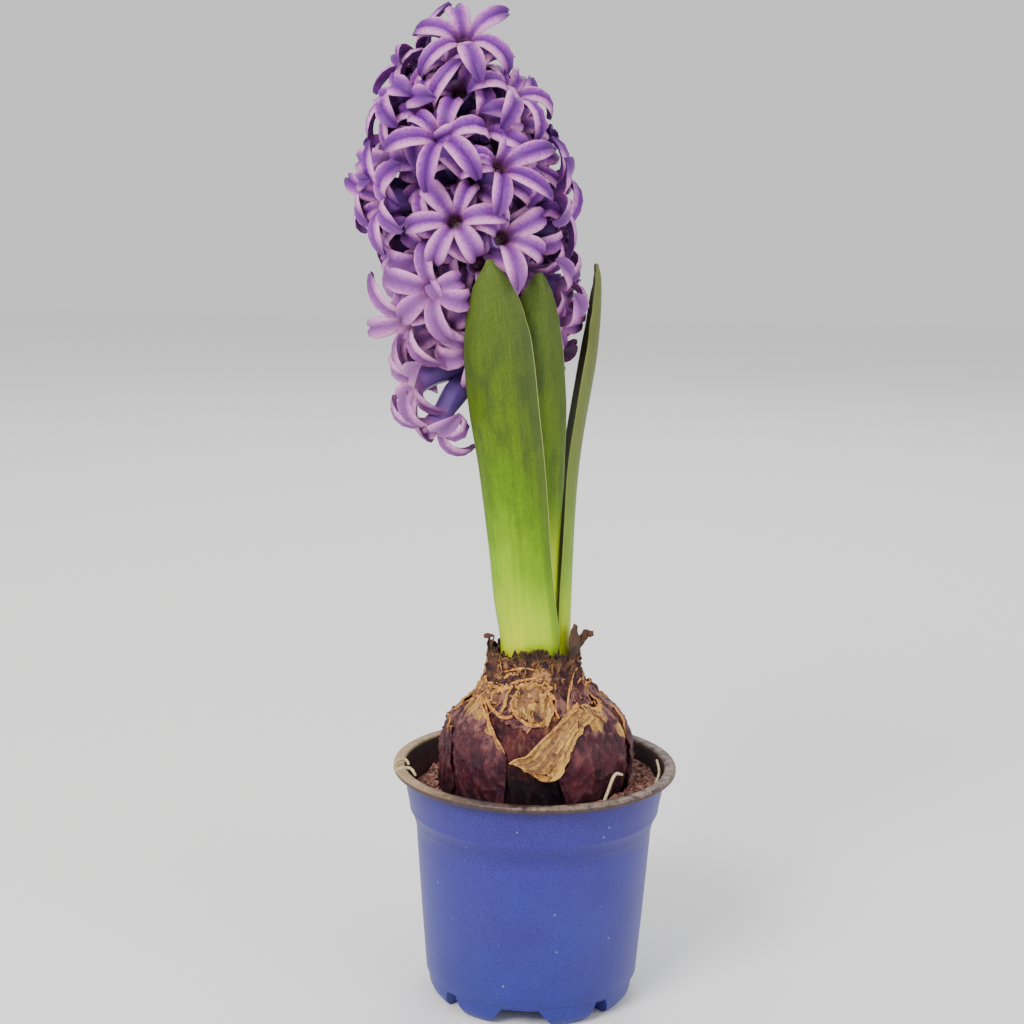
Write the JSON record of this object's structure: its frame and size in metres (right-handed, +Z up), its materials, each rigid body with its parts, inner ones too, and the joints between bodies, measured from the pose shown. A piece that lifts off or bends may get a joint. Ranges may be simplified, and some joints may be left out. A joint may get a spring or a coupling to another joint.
{
  "type": "hyacinth flower with bulb",
  "caption": "Forced violet hyacinth in flower: a dense spike of starry florets and broad upright leaves growing from a papery purple bulb in a blue plastic growing pot.",
  "frame": {"origin": "middle of the footprint, on the ground under the pot", "axes": "+Z up along the flower spike, -Y towards the viewer of the picture, +X to the viewer's right"},
  "size_m": [0.1042, 0.09, 0.3103],
  "materials": {
    "pot_plastic": "satin blue plastic, dark at the rim and inside",
    "compost": "damp dark potting compost",
    "bulb_scale": "dull brown dry scale",
    "purple_tunic": "papery purple scale with golden torn edges",
    "tan_tunic": "papery golden scale",
    "dry_sheath": "ragged dry brown sheath",
    "leaf": "waxy leaf, dark olive tip to yellow-green foot",
    "stem": "fleshy purple-brown stem",
    "flower": "fleshy violet petals with paler margins",
    "straw": "dry pale straw"
  },
  "bodies": {
    "root": {"pot": "pot_plastic", "soil": "compost", "bulb": "bulb_scale", "tunic_left": "purple_tunic", "tunic_right": "purple_tunic", "tunic_front": "tan_tunic", "neck_sheath": "dry_sheath", "leaf_1": "leaf", "leaf_2": "leaf", "leaf_3": "leaf", "leaf_4": "leaf", "stem": "stem", "flower_spike": "flower", "straw_1": "straw", "straw_2": "straw", "straw_3": "straw", "straw_4": "straw"}
  },
  "joints": []
}
